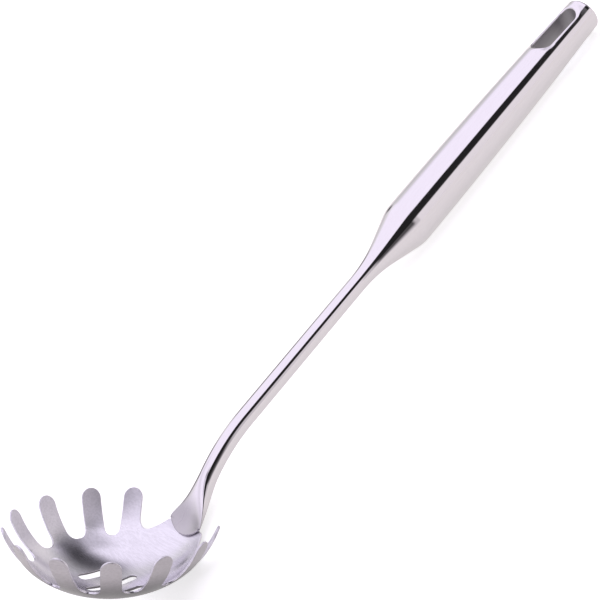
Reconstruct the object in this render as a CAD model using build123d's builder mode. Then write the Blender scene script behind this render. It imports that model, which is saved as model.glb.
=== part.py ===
"""Stainless pasta server: a tined bowl, spot welded to a bent round shank with a hollow grip."""
import os
from math import asin, atan2, cos, degrees, hypot, radians, sin, tan

from build123d import *

os.makedirs("parts", exist_ok=True)

# Bowl. Its section is a floor arc that runs into a tighter side arc, up to the tips of the tines.
# Angles are those of the wall, measured from the rim plane.
tip_radius = 41.7
sheet = 1.0
floor_arc_radius = 55.6
floor_arc_angle = 22.4
tip_slope_angle = 72.56

# Tines. Their reach is the depth of the gaps between them, seen along the bowl's axis.
tine_width = 7.8
tine_pitch_angle = 28.0
end_tine_pitch_angle = 24.6
regular_tines = 9
tine_reach = 11.9
root_fill_share = 0.85
tip_round_share = 1.004

# Lug, the part of the wall that carries the handle between the two end tines. Its corners and its
# crown stand back from the circle of the tips, seen along the bowl's axis.
lug_half_width = 10.8
lug_corner_setback = 6.8
lug_crown_setback = 3.5
lug_shoulder_angle = 39.5
lug_root_round = 4.0
lug_corner_round = 2.0
lug_crown_round = 12.0

# Drain slots, one long one in the middle and a shorter one on each side
drain_width = 4.0
drain_length = 22.5
side_drain_length = 15.4
drain_pitch = 10.9

# Weld pad, the pressed end of the shank, shaped like a spade
pad_thickness = 1.1
pad_half_width = 9.9
pad_rise_share = 0.935
pad_end_angle = 47.5
pad_top_angle = 58.0
pad_neck_share = 0.94

# Flare, from the round shank down into the flat pad. Each row holds shares of the way down, of the
# growth from the shank's radius to the pad's half width, of the loss of half thickness, and of the
# step back from the pad's face to the middle of its sheet.
flare_shares = [
    (0.0, 0.0, 0.0, 0.0),
    (0.12, 0.01, 0.015, 0.0),
    (0.25, 0.055, 0.076, 0.0),
    (0.5, 0.235, 0.258, 0.1),
    (0.75, 0.54, 0.56, 0.4),
    (1.0, 0.907, 0.92, 0.9),
    (1.2, 0.98, 1.0, 1.0),
]

# Spot welds between the pad and the bowl
nugget_radius = 1.6
nugget_height = 0.9
nugget_spread = 4.6
nugget_angle = 54.0
lower_nugget_angle = 50.5

# Shank. Angles are measured from the rim plane.
shank_radius = 3.85
flare_angle = 58.3
flare_length = 20.2
handle_angle = 39.2
bend_radius = 80.0
shank_length = 75.5

# Grip, a hollow tube of two pressed shells with a necked mouth
grip_wall = 0.9
mouth_length = 2.5
belly_radius = 10.92
belly_drop = 2.62
neck_arc_radius = 70.0
neck_angle = 16.0
shoulder_arc_radius = 22.0
belly_length = 133.4

# Spigot, the reduced end of the shank inside the grip's mouth
spigot_length = 18.0
spigot_lead = 0.8
spigot_clearance = 0.03

# Weld fillets, ground flush at the mouth and at the end cap
weld_depth = 0.6

# End cap, a stamped dome with a skirt inside the grip
cap_sheet = 0.9
cap_inner_round = 0.3
cap_corner_angle = 75.0
cap_collar = 0.8
skirt_wall = 0.6
skirt_clearance = 0.03
skirt_end_gap = 0.6

# Hanging slot, lined so that the hollow grip stays closed, with a gap from it to the grip's end
hang_width = 10.4
hang_length = 28.4
hang_end_gap = 2.8
liner_wall = 0.7

# What every cutter runs past the metal
overrun = 6.0

# Azimuths of the tines, counted from the handle round the bowl
half_row = (regular_tines - 1) // 2
row_azimuths = [180 + step * tine_pitch_angle for step in range(-half_row, half_row + 1)]
end_azimuth = row_azimuths[0] - end_tine_pitch_angle
tine_azimuths = [end_azimuth, *row_azimuths, 360 - end_azimuth]

# Side arc and the bowl's depth, in the rim frame: x to the handle, z out of the mouth
floor_reach = floor_arc_radius * sin(radians(floor_arc_angle))
side_arc_radius = (tip_radius - floor_reach) / (sin(radians(tip_slope_angle)) - sin(radians(floor_arc_angle)))
side_centre_x = (floor_arc_radius - side_arc_radius) * sin(radians(floor_arc_angle))
side_centre_z = side_arc_radius * cos(radians(tip_slope_angle))
floor_centre_z = side_centre_z + (floor_arc_radius - side_arc_radius) * cos(radians(floor_arc_angle))
bowl_depth = floor_arc_radius - floor_centre_z


def wall_point(slope, lift):
    """Rim frame x and z of the side arc where the wall stands at slope, lifted off its inner face."""
    radius = side_arc_radius - sheet - lift
    return (
        side_centre_x + radius * sin(radians(slope)),
        side_centre_z - radius * cos(radians(slope)),
    )


def along(point, angle, distance):
    """Point in the rim frame's side view, at distance from another in the direction of angle."""
    return (
        point[0] + distance * cos(radians(angle)),
        point[1] + distance * sin(radians(angle)),
    )


# Handle line: up the flare, round the bend, then straight along the shank and the grip
flare_foot = wall_point(pad_top_angle, pad_thickness)
flare_top = along(flare_foot, flare_angle, flare_length)
bend_centre = along(flare_top, flare_angle - 90, bend_radius)
straight_start = along(bend_centre, handle_angle + 90, bend_radius)
grip_start = along(straight_start, handle_angle, shank_length)

# Grip profile along its own axis, from the start of the neck's arc
neck_arc_end = (
    neck_arc_radius * sin(radians(neck_angle)),
    shank_radius + neck_arc_radius * (1 - cos(radians(neck_angle))),
)
shoulder_rise = shoulder_arc_radius * (1 - cos(radians(neck_angle)))
shoulder_run = shoulder_arc_radius * sin(radians(neck_angle))
cone_rise = belly_radius - shoulder_rise - neck_arc_end[1]
cone_end = (neck_arc_end[0] + cone_rise / tan(radians(neck_angle)), belly_radius - shoulder_rise)
belly_start = cone_end[0] + shoulder_run
grip_end = belly_start + belly_length
grip_end_radius = belly_radius - belly_drop
belly_arc_radius = (belly_length**2 + belly_drop**2) / (2 * belly_drop)

# Rest tilt: the bowl's side arc and the belly's arc share one tangent, which is the table
belly_foot = along(grip_start, handle_angle, belly_start)
belly_centre = along(belly_foot, handle_angle + 90, belly_arc_radius - belly_radius)
span_x = belly_centre[0] - side_centre_x
span_z = belly_centre[1] - side_centre_z
lean = asin((belly_arc_radius - side_arc_radius) / hypot(span_x, span_z))
rest_tilt = degrees(atan2(span_z, span_x) - lean)

# The rim plane at rest. The table is z = 0 and the whole server is centred over the origin.
x_axis = Vector(cos(radians(rest_tilt)), 0, -sin(radians(rest_tilt)))
z_axis = Vector(sin(radians(rest_tilt)), 0, cos(radians(rest_tilt)))
rim_height = side_arc_radius + side_centre_x * sin(radians(rest_tilt)) - side_centre_z * cos(radians(rest_tilt))
back_reach = side_arc_radius + side_centre_x * cos(radians(rest_tilt)) - side_centre_z * sin(radians(rest_tilt))
cap_corner_radius = cap_inner_round + cap_sheet
cap_run = cap_corner_radius * sin(radians(cap_corner_angle))
cap_shoulder_radius = grip_end_radius - cap_corner_radius * (1 - cos(radians(cap_corner_angle)))
crown_radius = cap_shoulder_radius / cos(radians(cap_corner_angle))
cap_height = cap_run + crown_radius * (1 - sin(radians(cap_corner_angle)))
apex = along(grip_start, handle_angle, grip_end + cap_collar + cap_height)
front_reach = apex[0] * cos(radians(rest_tilt)) + apex[1] * sin(radians(rest_tilt))
rim_plane = Plane(
    origin=((back_reach - front_reach) / 2, 0, rim_height),
    x_dir=x_axis,
    z_dir=z_axis,
)


def in_rim(x, y, z):
    """A point of the rim frame, in the part's frame."""
    return rim_plane.from_local_coords(Vector(x, y, z))


def rim_turned(azimuth):
    """The rim plane with its x turned to an azimuth, counted from the handle."""
    ahead = in_rim(cos(radians(azimuth)), sin(radians(azimuth)), 0)
    return Plane(origin=rim_plane.origin, x_dir=ahead - rim_plane.origin, z_dir=rim_plane.z_dir)


def side_plane(point, angle):
    """Plane of the side view with its x along angle; its y is then square to that, upwards."""
    ahead = along(point, angle, 1)
    origin = in_rim(point[0], 0, point[1])
    return Plane(origin=origin, x_dir=in_rim(ahead[0], 0, ahead[1]) - origin, z_dir=(0, -1, 0))


def section_plane(point, angle):
    """Plane square to the handle line at a point, with its x across the server."""
    ahead = along(point, angle, 1)
    origin = in_rim(point[0], 0, point[1])
    return Plane(origin=origin, x_dir=(0, 1, 0), z_dir=in_rim(ahead[0], 0, ahead[1]) - origin)


bowl_plane = side_plane((0, 0), 0)
bowl_axis = Axis(rim_plane.origin, rim_plane.z_dir)
grip_plane = side_plane(grip_start, handle_angle)
grip_axis = Axis(grip_plane.origin, grip_plane.x_dir)
print(f"rest tilt {rest_tilt:.2f} degrees, bowl depth {bowl_depth:.1f}, length {front_reach + back_reach:.1f}")


def wall_section(outer, inner):
    """Closed section of the bowl's wall between two depths under its outer face."""
    tip_start = -degrees(asin(side_centre_z / (side_arc_radius - outer)))
    tip_end = -degrees(asin(side_centre_z / (side_arc_radius - inner)))
    turn = floor_arc_angle - 90
    with BuildLine() as outline:
        CenterArc((0, floor_centre_z), floor_arc_radius - outer, -90, floor_arc_angle)
        CenterArc((side_centre_x, side_centre_z), side_arc_radius - outer, turn, tip_start - turn)
        CenterArc((0, floor_centre_z), floor_arc_radius - inner, -90, floor_arc_angle)
        CenterArc((side_centre_x, side_centre_z), side_arc_radius - inner, turn, tip_end - turn)
        Line((0, floor_centre_z - floor_arc_radius + outer), (0, floor_centre_z - floor_arc_radius + inner))
        Line(
            (side_centre_x + (side_arc_radius - outer) * cos(radians(tip_start)), 0),
            (side_centre_x + (side_arc_radius - inner) * cos(radians(tip_end)), 0),
        )
    return outline.line


root_radius = tip_radius - tine_reach
lug_corner_reach = tip_radius - lug_corner_setback
lug_crown_reach = tip_radius - lug_crown_setback


def tine_edge(reach, half_angle):
    """Half width of a gap between two tines, at a reach from the bowl's axis."""
    return reach * tan(radians(half_angle)) - tine_width / 2 / cos(radians(half_angle))


def tine_gap(azimuth, pitch):
    """Plan of the gap centred on azimuth between two tines a pitch apart, with a round blind end."""
    far = tip_radius + overrun
    near_half = tine_edge(root_radius, pitch / 2)
    far_half = tine_edge(far, pitch / 2)
    round_limit = near_half / tan(radians(90 - pitch / 2) / 2)
    corners = [(far, far_half), (root_radius, near_half), (root_radius, -near_half), (far, -far_half)]
    with BuildSketch(rim_turned(azimuth)) as gap:
        with BuildLine():
            FilletPolyline(*corners, radius=round_limit * root_fill_share)
            Line(corners[-1], corners[0])
        make_face()
    return gap.sketch


def tip_waste(azimuth):
    """Outline, seen along a tine's radius, of what is cut away around its round tip."""
    tip_round = tine_width / 2 * tip_round_share
    outward = in_rim(cos(radians(azimuth)), sin(radians(azimuth)), 0) - rim_plane.origin
    start = rim_plane.origin + outward * (tip_radius * 2 / 3)
    across = in_rim(-sin(radians(azimuth)), cos(radians(azimuth)), 0) - rim_plane.origin
    with BuildSketch(Plane(origin=start, x_dir=across, z_dir=outward)) as waste:
        with Locations((0, (overrun - tip_round) / 2)):
            Rectangle(tine_width + tip_round, tip_round + overrun)
        with Locations((0, -tip_round)):
            Circle(tip_round, mode=Mode.SUBTRACT)
    return waste.sketch


def handle_gap():
    """Plan of what is cut away between the end tines, around the lug."""
    azimuth = radians(end_azimuth)
    shoulder = radians(lug_shoulder_angle)
    half = tine_width / 2
    root_reach = (
        (lug_corner_reach - half * sin(azimuth)) * sin(shoulder)
        + (lug_half_width + half * cos(azimuth)) * cos(shoulder)
    ) / sin(azimuth + shoulder)
    far_reach = (tip_radius + overrun) / cos(azimuth)
    near_side = [
        (reach * cos(azimuth) + half * sin(azimuth), reach * sin(azimuth) - half * cos(azimuth))
        for reach in (far_reach, root_reach)
    ] + [(lug_corner_reach, lug_half_width)]
    far_side = [(x, -y) for x, y in reversed(near_side)]
    corners = near_side + [(lug_crown_reach, 0)] + far_side
    rounds = [lug_root_round, lug_corner_round, lug_crown_round, lug_corner_round, lug_root_round]
    with BuildSketch(rim_plane) as gap:
        with BuildLine():
            FilletPolyline(*corners, radius=rounds)
            Line(corners[-1], corners[0])
        make_face()
    return gap.sketch


def wall_plane(spread, slope):
    """Plane on the bowl's inner face, square to it, spread to one side of the handle line."""
    reach, height = wall_point(slope, 0)
    turned = rim_turned(degrees(asin(spread / reach)))
    origin = turned.from_local_coords(Vector(reach, 0, height))
    inward = Vector(reach - sin(radians(slope)), 0, height + cos(radians(slope)))
    return Plane(origin=origin, z_dir=turned.from_local_coords(inward) - origin)


# Spot weld nuggets, half in the bowl's sheet and half in the pad
with BuildPart() as pad_spot_welds:
    for spread, slope in (
        (0, lower_nugget_angle),
        (nugget_spread, nugget_angle),
        (-nugget_spread, nugget_angle),
    ):
        with BuildSketch(wall_plane(spread, slope)):
            Circle(nugget_radius)
        extrude(amount=nugget_height / 2, both=True)

# Bowl: a revolved shell, cut between the tines, around the lug and at the drain slots
with BuildPart() as bowl:
    with BuildSketch(bowl_plane):
        add(wall_section(0, sheet))
        make_face()
    revolve(axis=bowl_axis)
    cut_depth = bowl_depth + overrun
    for before, after in zip(tine_azimuths, tine_azimuths[1:]):
        gap = tine_gap((before + after) / 2, after - before)
        extrude(gap, amount=cut_depth, both=True, mode=Mode.SUBTRACT)
    extrude(handle_gap(), amount=cut_depth, both=True, mode=Mode.SUBTRACT)
    with BuildSketch(rim_plane):
        SlotOverall(drain_length, drain_width)
        with Locations((0, drain_pitch), (0, -drain_pitch)):
            SlotOverall(side_drain_length, drain_width)
    extrude(amount=-cut_depth, mode=Mode.SUBTRACT)
    for azimuth in tine_azimuths:
        extrude(tip_waste(azimuth), amount=tip_radius / 2, mode=Mode.SUBTRACT)
    add(pad_spot_welds.part, mode=Mode.SUBTRACT)


def weld_groove(distance, radius):
    """Ring with a V section at a distance along the grip, flush with a surface of that radius."""
    with BuildPart() as ring:
        with BuildSketch(grip_plane):
            with BuildLine():
                Polyline(
                    (distance - weld_depth, radius),
                    (distance + weld_depth, radius),
                    (distance, radius - weld_depth),
                    close=True,
                )
            make_face()
        revolve(axis=grip_axis)
    return ring.part


def grip_line(inset):
    """Grip profile from the mouth to the end cap, a distance under the outer face."""
    neck_centre = (0, shank_radius + neck_arc_radius)
    shoulder_centre = (belly_start, belly_radius - shoulder_arc_radius)
    crest_centre = (belly_start, belly_radius - belly_arc_radius)
    belly_turn = degrees(asin(belly_length / belly_arc_radius))
    with BuildLine() as line:
        mouth = Line((-mouth_length, shank_radius - inset), (0, shank_radius - inset))
        neck = CenterArc(neck_centre, neck_arc_radius + inset, -90, neck_angle)
        shoulder = CenterArc(shoulder_centre, shoulder_arc_radius - inset, 90 + neck_angle, -neck_angle)
        Line(neck @ 1, shoulder @ 0)
        belly = CenterArc(crest_centre, belly_arc_radius - inset, 90, -belly_turn)
    return line.line, mouth @ 0, belly @ 1


# Weld fillets: one where the shank enters the grip, one between the grip and its end cap
with BuildPart() as neck_weld:
    add(weld_groove(-mouth_length, shank_radius))

with BuildPart() as cap_weld:
    add(weld_groove(grip_end, grip_end_radius))

# Shank: the spade-shaped pad on the bowl's wall, the flare, the bend, the rod and the spigot
with BuildPart() as shank:
    with BuildSketch(bowl_plane):
        add(wall_section(sheet, sheet + pad_thickness))
        make_face()
    revolve(axis=bowl_axis)
    pad_angle = (pad_end_angle + pad_top_angle) / 2
    pad_height = hypot(
        flare_foot[0] - wall_point(pad_end_angle, 0)[0],
        flare_foot[1] - wall_point(pad_end_angle, 0)[1],
    )
    pad_end_rise = pad_height * pad_rise_share
    with BuildSketch(section_plane(wall_point(pad_end_angle, 0), pad_angle - 90)):
        with BuildLine():
            ThreePointArc((-pad_half_width, pad_end_rise), (0, 0), (pad_half_width, pad_end_rise))
            Polyline(
                (pad_half_width, pad_end_rise),
                (pad_half_width * pad_neck_share, pad_height),
                (-pad_half_width * pad_neck_share, pad_height),
                (-pad_half_width, pad_end_rise),
            )
        make_face()
    extrude(amount=bowl_depth / 2, both=True, mode=Mode.INTERSECT)
    for way, growth, loss, step in flare_shares:
        centre = along(flare_top, flare_angle + 180, flare_length * way)
        centre = along(centre, flare_angle - 90, step * pad_thickness / 2)
        half_width = shank_radius + growth * (pad_half_width - shank_radius)
        half_thickness = shank_radius - loss * (shank_radius - pad_thickness / 2)
        with BuildSketch(section_plane(centre, flare_angle)):
            Ellipse(half_width, half_thickness)
    loft()
    bend_axis = Axis(in_rim(bend_centre[0], 0, bend_centre[1]), (0, 1, 0))
    with BuildSketch(section_plane(flare_top, flare_angle)):
        Circle(shank_radius)
    revolve(axis=bend_axis, revolution_arc=flare_angle - handle_angle)
    with BuildSketch(section_plane(straight_start, handle_angle)):
        Circle(shank_radius)
    extrude(amount=shank_length - mouth_length)
    spigot_radius = shank_radius - grip_wall - spigot_clearance
    spigot_end = spigot_length - mouth_length
    with BuildSketch(grip_plane):
        with BuildLine():
            Polyline(
                (-mouth_length, 0),
                (-mouth_length, spigot_radius),
                (spigot_end - spigot_lead, spigot_radius),
                (spigot_end, spigot_radius - spigot_lead),
                (spigot_end, 0),
                close=True,
            )
        make_face()
    revolve(axis=grip_axis)
    add(bowl.part, mode=Mode.SUBTRACT)
    add(pad_spot_welds.part, mode=Mode.SUBTRACT)
    add(neck_weld.part, mode=Mode.SUBTRACT)

# Plane of the hanging slot, through the handle's axis, with its x along the handle
hang_end_distance = hang_end_gap + liner_wall + hang_length / 2
hang_point = along(grip_start, handle_angle, grip_end - hang_end_distance)
hang_plane = Plane(
    origin=in_rim(hang_point[0], 0, hang_point[1]),
    x_dir=grip_plane.x_dir,
    z_dir=grip_plane.y_dir,
)

# Hollow grip, made as one tube and then parted into the two pressed shells
with BuildPart() as grip_tube:
    with BuildSketch(grip_plane):
        outer_line, outer_mouth, outer_end = grip_line(0)
        inner_line, inner_mouth, inner_end = grip_line(grip_wall)
        with BuildLine():
            add(outer_line)
            add(inner_line)
            Line(outer_mouth, inner_mouth)
            Line(outer_end, inner_end)
        make_face()
    revolve(axis=grip_axis)
    add(neck_weld.part, mode=Mode.SUBTRACT)
    add(cap_weld.part, mode=Mode.SUBTRACT)
    with BuildSketch(hang_plane):
        SlotOverall(hang_length + 2 * liner_wall, hang_width + 2 * liner_wall)
    extrude(amount=belly_radius + overrun, both=True, mode=Mode.SUBTRACT)

with BuildPart() as grip_front_shell:
    add(grip_tube.part)
    split(bisect_by=hang_plane, keep=Keep.TOP)

with BuildPart() as grip_back_shell:
    add(grip_tube.part)
    split(bisect_by=hang_plane, keep=Keep.BOTTOM)

# Liner of the hanging slot: an oblong ring cut flush with the round grip
with BuildPart() as hang_slot_liner:
    with BuildSketch(grip_plane):
        body_line, body_mouth, body_end = grip_line(0)
        with BuildLine():
            add(body_line)
            Polyline(body_end, (body_end.X, 0), (body_mouth.X, 0), body_mouth)
        make_face()
    revolve(axis=grip_axis)
    with BuildSketch(hang_plane):
        SlotOverall(hang_length + 2 * liner_wall, hang_width + 2 * liner_wall)
        SlotOverall(hang_length, hang_width, mode=Mode.SUBTRACT)
    extrude(amount=belly_radius + overrun, both=True, mode=Mode.INTERSECT)

# End cap: a domed sheet with a skirt that centres it in the grip
with BuildPart() as end_cap:
    collar_end = grip_end + cap_collar
    skirt_length = hang_end_gap - skirt_end_gap
    skirt_radius = grip_end_radius - grip_wall - skirt_clearance
    corner_centre = (collar_end, grip_end_radius - cap_corner_radius)
    crown_centre = (collar_end + cap_height - crown_radius, 0)
    crown_start = 90 - cap_corner_angle
    with BuildSketch(grip_plane):
        with BuildLine():
            CenterArc(corner_centre, cap_corner_radius, 90, -cap_corner_angle)
            CenterArc(crown_centre, crown_radius, crown_start, -crown_start)
            Line((collar_end + cap_height, 0), (collar_end + cap_height - cap_sheet, 0))
            CenterArc(crown_centre, crown_radius - cap_sheet, crown_start, -crown_start)
            CenterArc(corner_centre, cap_inner_round, 90, -cap_corner_angle)
            Polyline(
                (collar_end, grip_end_radius - cap_sheet),
                (collar_end, skirt_radius - skirt_wall),
                (grip_end - skirt_length, skirt_radius - skirt_wall),
                (grip_end - skirt_length, skirt_radius),
                (grip_end, skirt_radius),
                (grip_end, grip_end_radius),
                (collar_end, grip_end_radius),
            )
        make_face()
    revolve(axis=grip_axis)
    add(cap_weld.part, mode=Mode.SUBTRACT)

pieces = {
    "bowl": bowl,
    "shank": shank,
    "pad_spot_welds": pad_spot_welds,
    "grip_front_shell": grip_front_shell,
    "grip_back_shell": grip_back_shell,
    "hang_slot_liner": hang_slot_liner,
    "end_cap": end_cap,
    "neck_weld": neck_weld,
    "cap_weld": cap_weld,
}
for name, piece in pieces.items():
    piece.part.label = name
    export_step(piece.part, f"parts/{name}.step")
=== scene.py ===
"""Looks of the pasta server: satin bowl, polished shank and grip, on a white table in soft light."""
from math import acos, asin, atan2, ceil, cos, degrees, hypot, pi, radians, sin, sqrt, tan

import bpy
import numpy as np
from mathutils import Matrix, Vector
from mathutils.geometry import delaunay_2d_cdt


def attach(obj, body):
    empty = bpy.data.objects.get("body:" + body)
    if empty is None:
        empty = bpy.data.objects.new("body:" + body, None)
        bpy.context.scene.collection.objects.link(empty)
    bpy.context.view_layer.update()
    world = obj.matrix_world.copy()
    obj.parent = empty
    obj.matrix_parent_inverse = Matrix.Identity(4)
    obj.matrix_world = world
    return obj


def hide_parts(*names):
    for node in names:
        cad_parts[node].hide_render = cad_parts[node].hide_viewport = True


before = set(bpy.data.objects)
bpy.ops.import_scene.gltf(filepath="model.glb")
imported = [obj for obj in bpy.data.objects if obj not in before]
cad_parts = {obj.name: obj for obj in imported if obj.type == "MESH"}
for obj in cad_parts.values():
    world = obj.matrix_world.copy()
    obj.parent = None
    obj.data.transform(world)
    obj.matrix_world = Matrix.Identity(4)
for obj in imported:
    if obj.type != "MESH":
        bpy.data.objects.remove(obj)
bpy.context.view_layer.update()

# Sizes below are in millimetres and degrees, and meshes are written in metres
metres = 0.001

# Bowl: floor arc, side arc, tines, lug and drain slots
tip_radius = 41.7
sheet = 1.0
floor_arc_radius = 55.6
floor_arc_angle = 22.4
tip_slope_angle = 72.56
tine_width = 7.8
tine_pitch_angle = 28.0
end_tine_pitch_angle = 24.6
regular_tines = 9
tine_reach = 11.9
root_fill_share = 0.85
tip_round_share = 1.004
lug_half_width = 10.8
lug_corner_setback = 6.8
lug_crown_setback = 3.5
lug_shoulder_angle = 39.5
lug_rounds = [4.0, 2.0, 12.0, 2.0, 4.0]
drain_width = 4.0
drain_length = 22.5
side_drain_length = 15.4
drain_pitch = 10.9
bowl_edge_round = 0.3
bowl_mesh_step = 1.5
outside_slant = 0.6
drain_zone_radius = 20.0

# Shank and its spade-shaped pad
pad_thickness = 1.1
pad_half_width = 9.9
pad_end_half_width = 9.5
pad_rise = 4.6
pad_end_angle = 47.5
pad_top_angle = 58.0
shank_radius = 3.85
flare_angle = 58.3
flare_length = 20.2
handle_angle = 39.2
bend_radius = 80.0
shank_length = 75.5
spigot_length = 18.0
spigot_lead = 0.8
spigot_clearance = 0.03

# Flare. Each row holds shares of the way down, of the growth from the shank's radius to the pad's
# half width, of the way from the shank's front to the pad's face, and of the way at the back. The
# section goes from round to flat, and from the cup's start it bends to the bowl's curve.
flare_shares = [
    (0.0, 0.0, 0.0, 0.0),
    (0.12, 0.01, 0.03, 0.01),
    (0.25, 0.055, 0.11, 0.06),
    (0.5, 0.235, 0.38, 0.26),
    (0.75, 0.54, 0.70, 0.56),
    (1.0, 0.907, 0.95, 0.92),
    (1.2, 1.02, 1.0, 1.0),
    (1.5, 1.05, 1.0, 1.0),
]
flare_flatness = 4.5
cup_start_share = 0.4
pad_edge_round = 0.35

# Grip, its hanging slot and its end cap
grip_wall = 0.9
mouth_length = 2.5
belly_radius = 10.92
belly_drop = 2.62
neck_arc_radius = 70.0
neck_angle = 16.0
shoulder_arc_radius = 22.0
belly_length = 133.4
weld_depth = 0.6
cap_sheet = 0.9
cap_inner_round = 0.3
cap_corner_angle = 75.0
cap_collar = 0.8
skirt_wall = 0.6
skirt_clearance = 0.03
skirt_end_gap = 0.6
hang_width = 10.4
hang_length = 28.4
hang_end_gap = 2.8
liner_wall = 0.7
lip_drop = 0.7
lip_dish_depth = 0.17
lip_dish_width = 1.3
liner_wall_height = 2.1
grip_mesh_step = 1.3

# Meshes of trimmed sheets. Inner spots keep a share of the mesh's step away from the rim, and spots
# closer than the merge distance count as one. Normals are measured from points a step or a turn
# to both sides, in millimetres and radians.
rim_clearance_share = 0.55
merge_distance = 1e-7
normal_step = 0.02
normal_turn = 0.004

# Photograph's camera. Its place and reach are in metres, its turns in degrees, its sensor in
# millimetres and the side of its picture in pixels.
image_side = 600
focal_length_in_pixels = 1652.95
sensor_width = 36.0
camera_place = Vector((-0.252374, -0.498535, 0.415510))
camera_azimuth = -114.6884
camera_elevation = 35.0782
camera_roll = 35.7990
camera_reach = 100


def direction(angle):
    """Unit step in the rim frame's side view, in the direction of angle."""
    return Vector((cos(radians(angle)), sin(radians(angle))))


def wall_point(slope, lift):
    """Rim frame x and z of the side arc where the wall stands at slope, lifted off its inner face."""
    radius = side_arc_radius - sheet - lift
    return side_centre + radius * direction(slope - 90)


# Bowl section in the rim frame, x towards the handle and z out of the mouth
floor_turn = radians(floor_arc_angle)
floor_reach = floor_arc_radius * sin(floor_turn)
side_arc_radius = (tip_radius - floor_reach) / (sin(radians(tip_slope_angle)) - sin(floor_turn))
side_centre = Vector((
    (floor_arc_radius - side_arc_radius) * sin(floor_turn),
    side_arc_radius * cos(radians(tip_slope_angle)),
))
floor_centre_z = side_centre.y + (floor_arc_radius - side_arc_radius) * cos(floor_turn)

# Handle line: up the flare, round the bend, then straight along the shank and the grip
flare_foot = wall_point(pad_top_angle, pad_thickness)
flare_top = flare_foot + flare_length * direction(flare_angle)
bend_centre = flare_top + bend_radius * direction(flare_angle - 90)
straight_start = bend_centre + bend_radius * direction(handle_angle + 90)
grip_start = straight_start + shank_length * direction(handle_angle)

# Grip profile along its own axis, from the start of the neck's arc
neck_end = neck_arc_radius * sin(radians(neck_angle))
neck_end_radius = shank_radius + neck_arc_radius * (1 - cos(radians(neck_angle)))
cone_end_radius = belly_radius - shoulder_arc_radius * (1 - cos(radians(neck_angle)))
cone_end = neck_end + (cone_end_radius - neck_end_radius) / tan(radians(neck_angle))
belly_start = cone_end + shoulder_arc_radius * sin(radians(neck_angle))
grip_end = belly_start + belly_length
grip_end_radius = belly_radius - belly_drop
belly_arc_radius = (belly_length**2 + belly_drop**2) / (2 * belly_drop)
hang_centre = grip_end - hang_end_gap - liner_wall - hang_length / 2

# Rest tilt: the bowl's side arc and the belly's arc share one tangent, which is the table
belly_foot = grip_start + belly_start * direction(handle_angle)
belly_centre = belly_foot + (belly_arc_radius - belly_radius) * direction(handle_angle + 90)
span = belly_centre - side_centre
tilt = atan2(span.y, span.x) - asin((belly_arc_radius - side_arc_radius) / span.length)

# End cap's dome
cap_corner_radius = cap_inner_round + cap_sheet
cap_shoulder_radius = grip_end_radius - cap_corner_radius * (1 - cos(radians(cap_corner_angle)))
crown_radius = cap_shoulder_radius / cos(radians(cap_corner_angle))
crown_rise = crown_radius * (1 - sin(radians(cap_corner_angle)))
cap_height = cap_corner_radius * sin(radians(cap_corner_angle)) + crown_rise
apex = grip_start + (grip_end + cap_collar + cap_height) * direction(handle_angle)

# The rim frame at rest. The table is z = 0 and the server is centred over the origin.
across = Vector((0, 1, 0))
rim_x = Vector((cos(tilt), 0, -sin(tilt)))
rim_z = Vector((sin(tilt), 0, cos(tilt)))
back_reach = side_arc_radius + side_centre.x * cos(tilt) - side_centre.y * sin(tilt)
front_reach = apex.x * cos(tilt) + apex.y * sin(tilt)
rim_height = side_arc_radius + side_centre.x * sin(tilt) - side_centre.y * cos(tilt)
rim_origin = Vector(((back_reach - front_reach) / 2, 0, rim_height))


def rim_direction(x, y, z):
    """A direction of the rim frame, in the part's frame."""
    return rim_x * x + across * y + rim_z * z


def in_rim(x, y, z):
    """A point of the rim frame, in the part's frame."""
    return rim_origin + rim_direction(x, y, z)


grip_origin = in_rim(grip_start.x, 0, grip_start.y)
grip_x = rim_direction(cos(radians(handle_angle)), 0, sin(radians(handle_angle)))
grip_up = rim_direction(-sin(radians(handle_angle)), 0, cos(radians(handle_angle)))


def in_grip(x, y, up):
    """A point at x along the grip, y across it and up from its axis, in the part's frame."""
    return grip_origin + grip_x * x + across * y + grip_up * up


def add_piece(name, points, faces, corner_normals, materials, slot, *nodes):
    """Mesh piece with a normal for every face corner. It rides on the body and replaces CAD nodes."""
    mesh = bpy.data.meshes.new(name)
    mesh.from_pydata([point * metres for point in points], [], faces)
    mesh.shade_smooth()
    mesh.normals_split_custom_set([normal for corners in corner_normals for normal in corners])
    for material in materials:
        mesh.materials.append(material)
    piece = bpy.data.objects.new(name, mesh)
    bpy.context.scene.collection.objects.link(piece)
    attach(piece, "root")
    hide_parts(*nodes)
    return piece


def loft_mesh(rows, strips, closed=False):
    """Points, faces and corner normals of strips of quads between rows of points round a loop.

    A row of one point is a pole. Strip k joins rows k and k + 1, and holds the normals along both.
    """
    starts = [0]
    for row in rows:
        starts.append(starts[-1] + len(row))
    points = [point for row in rows for point in row]
    round_count = max(len(row) for row in rows)
    faces, normals = [], []
    for index, (low_normals, high_normals) in enumerate(strips):
        low, high = index, (index + 1) % len(rows) if closed else index + 1
        for step in range(round_count):
            corners = []
            for row, row_normals, place in (
                (low, low_normals, step),
                (low, low_normals, (step + 1) % round_count),
                (high, high_normals, (step + 1) % round_count),
                (high, high_normals, step),
            ):
                corner = (starts[row] + place % len(rows[row]), row_normals[place % len(row_normals)])
                if corner[0] not in [seen[0] for seen in corners]:
                    corners.append(corner)
            if len(corners) > 2:
                faces.append([corner[0] for corner in corners])
                normals.append([corner[1] for corner in corners])
    return points, faces, normals


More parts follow.
